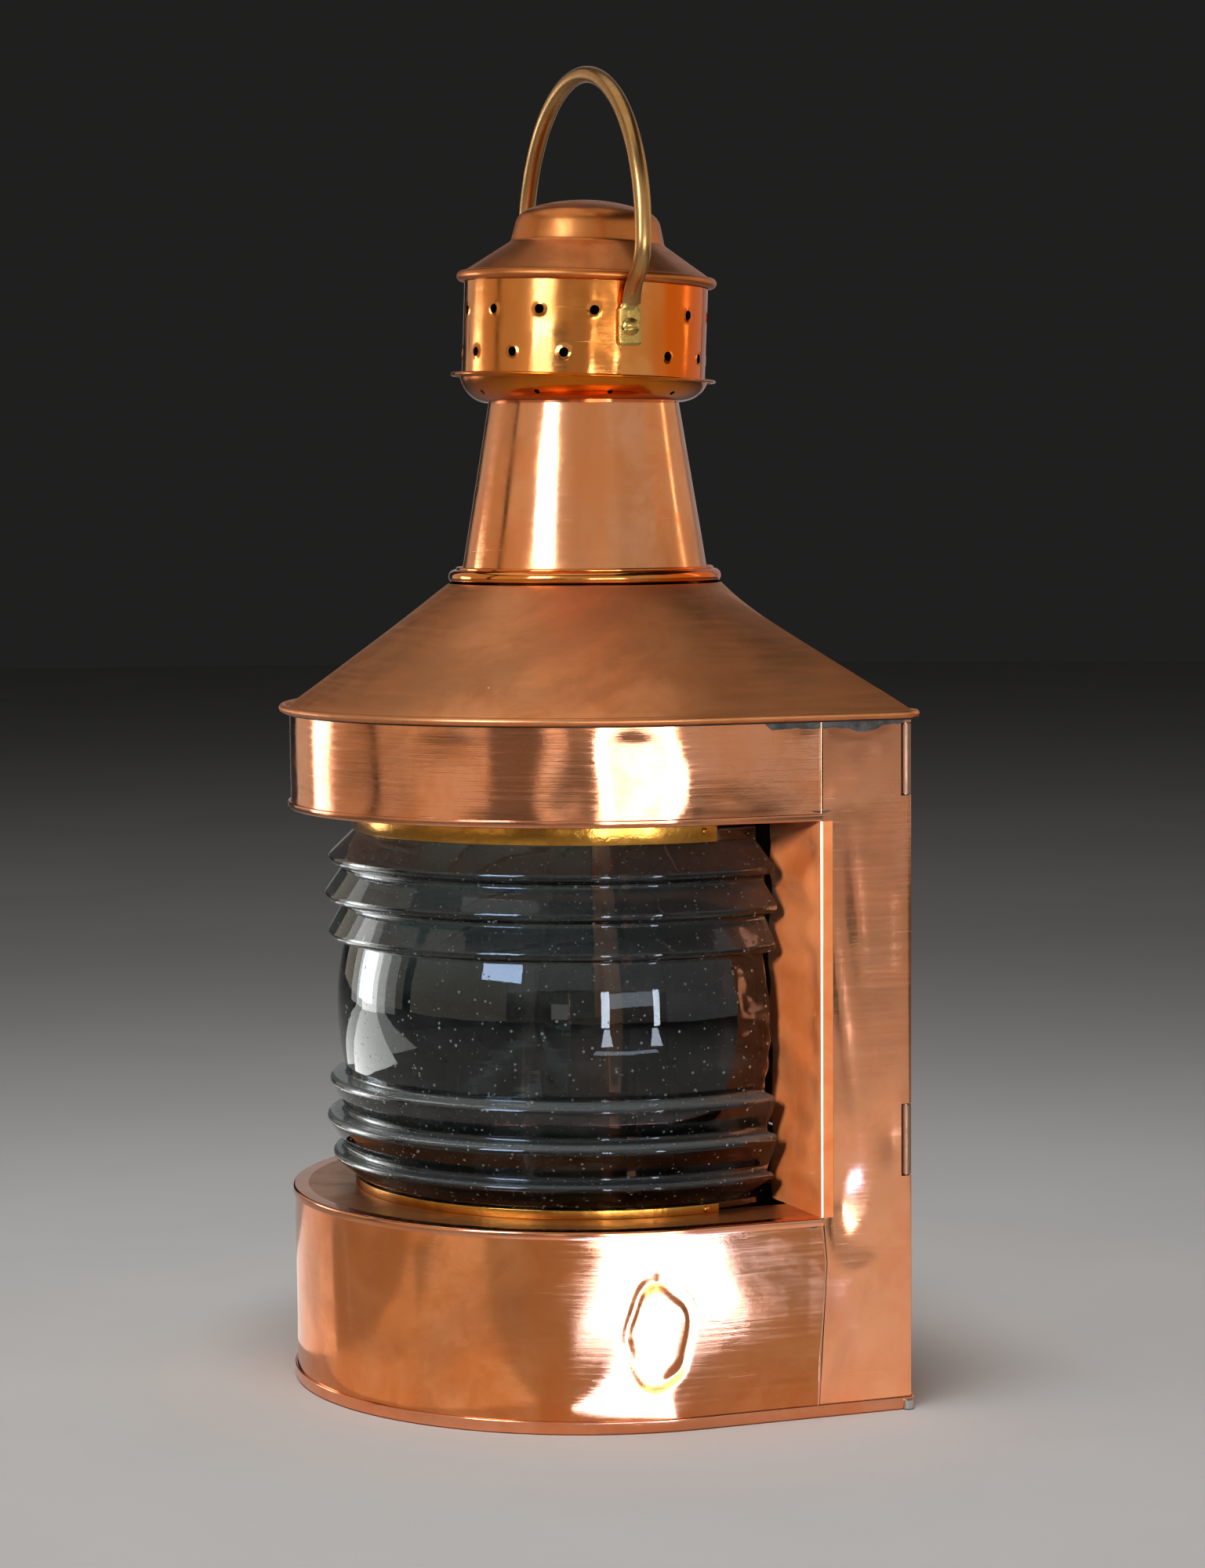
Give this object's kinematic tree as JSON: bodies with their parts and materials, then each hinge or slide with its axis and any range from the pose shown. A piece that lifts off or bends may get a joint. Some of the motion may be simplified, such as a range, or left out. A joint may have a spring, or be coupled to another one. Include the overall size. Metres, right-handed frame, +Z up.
{
  "type": "ship lantern",
  "caption": "Masthead ship lantern: D-shaped copper case with a wide prismatic glass lens, peaked roof, perforated ventilator, swinging bail, hinged back door and oil lamp.",
  "frame": {"origin": "on the lens axis, in the plane of the base", "axes": "+Z up, -Y the way the lens looks, +X the hinged side of the back door"},
  "size_m": [0.2716, 0.2465, 0.5774],
  "materials": {
    "copper_band": "polished copper sheet, tarnished and dented",
    "copper_side": "polished copper sheet with hand-rubbed tarnish",
    "copper_screen": "deep orange copper, rippled",
    "copper_roof": "brown tarnished copper, satin",
    "copper_chimney": "polished copper",
    "copper_vent": "polished copper with deep orange reflections",
    "copper_cap": "warm tarnished copper",
    "bronze_bail": "dull bronze rod, worn",
    "brass_fitting": "aged brass",
    "brass_ring": "golden lacquered brass",
    "lens_glass": "thick pressed glass, faint green, seeds and dust",
    "steel_pin": "drawn steel wire",
    "copper_font": "dull copper",
    "brass_burner": "aged brass",
    "cotton_wick": "woven cotton tape",
    "chimney_glass": "thin clear glass"
  },
  "bodies": {
    "case": {"bottom_plate": "copper_band", "lower_band": "copper_band", "upper_band": "copper_band", "ledge_plate": "copper_band", "soffit_plate": "copper_band", "side_panel_right": "copper_side", "side_panel_left": "copper_side", "back_lower_panel": "copper_side", "side_screen_right": "copper_screen", "side_screen_left": "copper_screen", "roof": "copper_roof", "roof_rim_wire": "copper_roof", "bead_ring": "copper_chimney", "chimney": "copper_chimney", "vent_pan": "copper_vent", "vent_collar": "copper_vent", "cap": "copper_cap", "bail_screws": "brass_fitting", "bail_nuts": "brass_fitting", "turn_button_screw": "brass_fitting", "lens_ring_top": "brass_ring", "lens_ring_bottom": "brass_ring", "lens": "lens_glass", "hinge_pin": "steel_pin", "font_body": "copper_font", "font_lid": "copper_font", "burner_collar": "brass_burner", "burner_body": "brass_burner", "glass_gallery": "brass_burner", "wick_tube": "brass_burner", "lamp_glass": "chimney_glass"},
    "bail": {"bail": "bronze_bail"},
    "door": {"door_panel": "copper_side", "door_hinge_low": "brass_fitting", "door_hinge_high": "brass_fitting", "door_knob": "brass_fitting"},
    "turn_button": {"turn_button": "brass_fitting"},
    "winder": {"winder_shaft": "brass_burner", "spur_wheels": "brass_burner", "winder_knob": "brass_burner"},
    "wick": {"wick": "cotton_wick"},
    "filler_cap": {"filler_cap": "brass_burner"}
  },
  "joints": [
    {"name": "bail_swing", "type": "hinge", "parent": "case", "child": "bail", "pos_m": [0, 0, 0.4618], "axis": [1, 0, 0], "range_deg": [-145, 145]},
    {"name": "door_swing", "type": "hinge", "parent": "case", "child": "door", "pos_m": [0.1285, 0.0952, 0.197], "axis": [0, 0, -1], "range_deg": [0, 165]},
    {"name": "turn_button_turn", "type": "hinge", "parent": "case", "child": "turn_button", "pos_m": [-0.098, 0.099, 0.091], "axis": [0, 1, 0], "range_deg": [0, 90]},
    {"name": "winder_spin", "type": "hinge", "parent": "case", "child": "winder", "pos_m": [0.0059, 0.02, 0.111], "axis": [0, 1, 0], "range_deg": [-90, 120]},
    {"name": "wick_lift", "type": "slide", "parent": "case", "child": "wick", "axis": [0, 0, 1], "range_m": [-0.0062, 0.0082]},
    {"name": "filler_cap_turn", "type": "hinge", "parent": "case", "child": "filler_cap", "pos_m": [0, 0.032, 0.095], "axis": [0, 0, 1], "range_deg": [0, 360]}
  ],
  "couplings": [
    {"joint": "wick_lift", "follows": "winder_spin", "m_per_rad": 0.00375}
  ]
}
